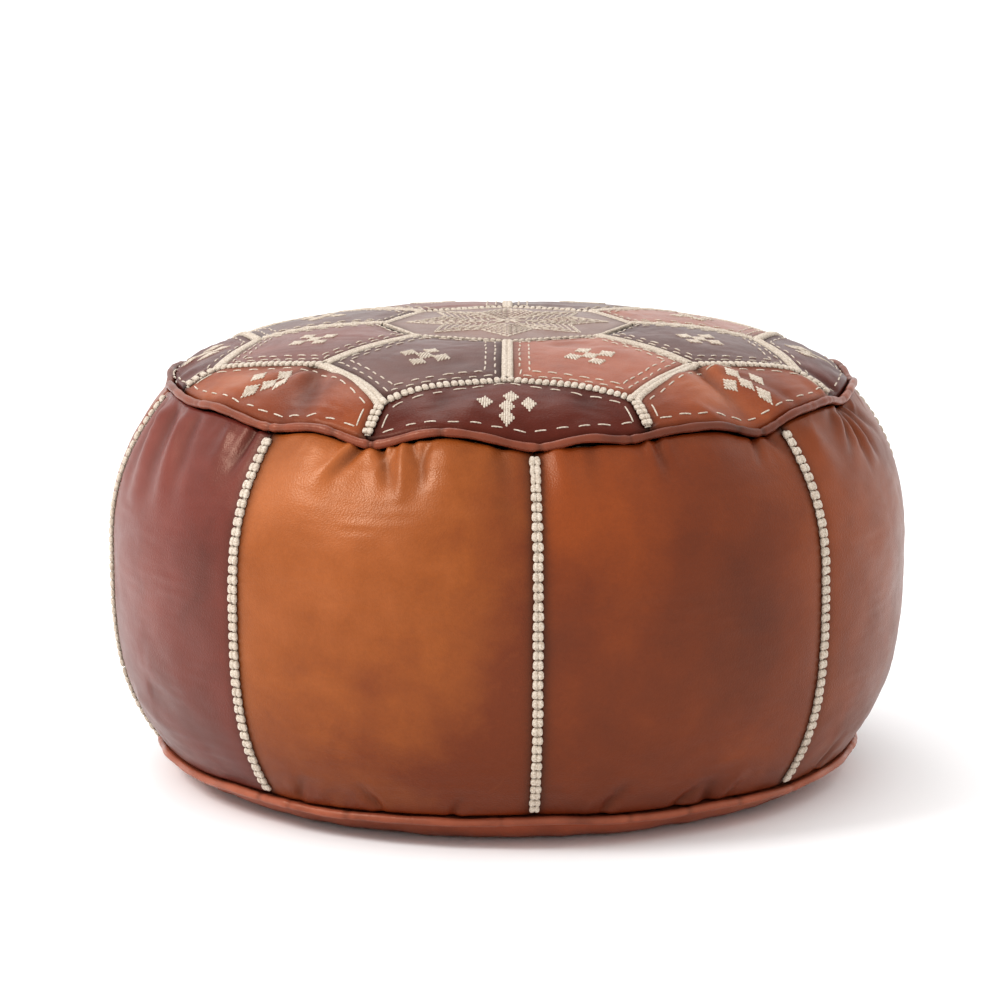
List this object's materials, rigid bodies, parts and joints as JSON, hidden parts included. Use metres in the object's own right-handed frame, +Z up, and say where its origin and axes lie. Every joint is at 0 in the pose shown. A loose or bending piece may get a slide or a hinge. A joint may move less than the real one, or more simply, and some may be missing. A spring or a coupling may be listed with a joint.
{
  "type": "leather floor pouf",
  "caption": "Round low leather floor seat with a puffed patchwork top, braided seams, corded welts and a zip in its base.",
  "frame": {"origin": "on the floor, under the centre of the seat", "axes": "+Z up, -Y is the front, where one spoke of the top's pattern points; +X along the zip towards its closed end"},
  "size_m": [0.5436, 0.5436, 0.3032],
  "materials": {
    "medallion_leather": "aged vegetable-tanned leather, low satin",
    "burgundy_leather": "hand-dyed burgundy-brown leather, satin",
    "tan_leather": "hand-dyed tan leather, satin",
    "brown_leather": "hand-dyed chestnut leather, satin",
    "welt_leather": "folded chestnut leather, satin",
    "base_leather": "chestnut leather, satin",
    "thread": "cream cotton thread",
    "cord": "cotton cord",
    "canvas": "unbleached cotton canvas",
    "bag_cloth": "plain calico",
    "stuffing": "cotton stuffing",
    "zip_tape": "woven brown polyester tape",
    "zip_coil": "brown nylon coil",
    "antique_brass": "antique brass, brushed"
  },
  "bodies": {
    "pouf": {"medallion": "medallion_leather", "inner_petal_a": "tan_leather", "inner_petal_b": "burgundy_leather", "inner_petal_c": "tan_leather", "inner_petal_d": "burgundy_leather", "inner_petal_e": "tan_leather", "inner_petal_f": "burgundy_leather", "inner_petal_g": "tan_leather", "inner_petal_h": "burgundy_leather", "outer_petal_front": "burgundy_leather", "outer_petal_front_right": "tan_leather", "outer_petal_right": "burgundy_leather", "outer_petal_back_right": "tan_leather", "outer_petal_back": "burgundy_leather", "outer_petal_back_left": "tan_leather", "outer_petal_left": "burgundy_leather", "outer_petal_front_left": "tan_leather", "side_panel_a": "brown_leather", "side_panel_b": "brown_leather", "side_panel_c": "burgundy_leather", "side_panel_d": "brown_leather", "side_panel_e": "tan_leather", "side_panel_f": "brown_leather", "side_panel_g": "burgundy_leather", "side_panel_h": "tan_leather", "side_braid_a": "thread", "side_braid_b": "thread", "side_braid_c": "thread", "side_braid_d": "thread", "side_braid_e": "thread", "side_braid_f": "thread", "side_braid_g": "thread", "side_braid_h": "thread", "medallion_braid": "thread", "spoke_braids": "thread", "zigzag_braid": "thread", "rim_braids": "thread", "medallion_embroidery": "thread", "inner_petal_motifs": "thread", "outer_petal_motifs": "thread", "top_welt_cover": "welt_leather", "top_welt_cord": "cord", "base_welt_cover": "welt_leather", "base_welt_cord": "cord", "base_panel_front": "base_leather", "base_panel_back": "base_leather", "zip_tape_front": "zip_tape", "zip_tape_back": "zip_tape", "zip_coil_front": "zip_coil", "zip_coil_back": "zip_coil", "zip_top_stops": "antique_brass", "zip_bottom_stop": "antique_brass", "top_backing": "canvas", "inner_bag": "bag_cloth", "filling": "stuffing"},
    "slider": {"zip_slider": "antique_brass"},
    "pull_tab": {"zip_pull_tab": "antique_brass"}
  },
  "joints": [
    {"name": "zip_slide", "type": "slide", "parent": "pouf", "child": "slider", "axis": [-1, 0, 0], "range_m": [0, 0.356]},
    {"name": "pull_tab_hinge", "type": "hinge", "parent": "slider", "child": "pull_tab", "pos_m": [0.178, 0, 0.0045], "axis": [0, -1, 0], "range_deg": [0, 180]}
  ]
}
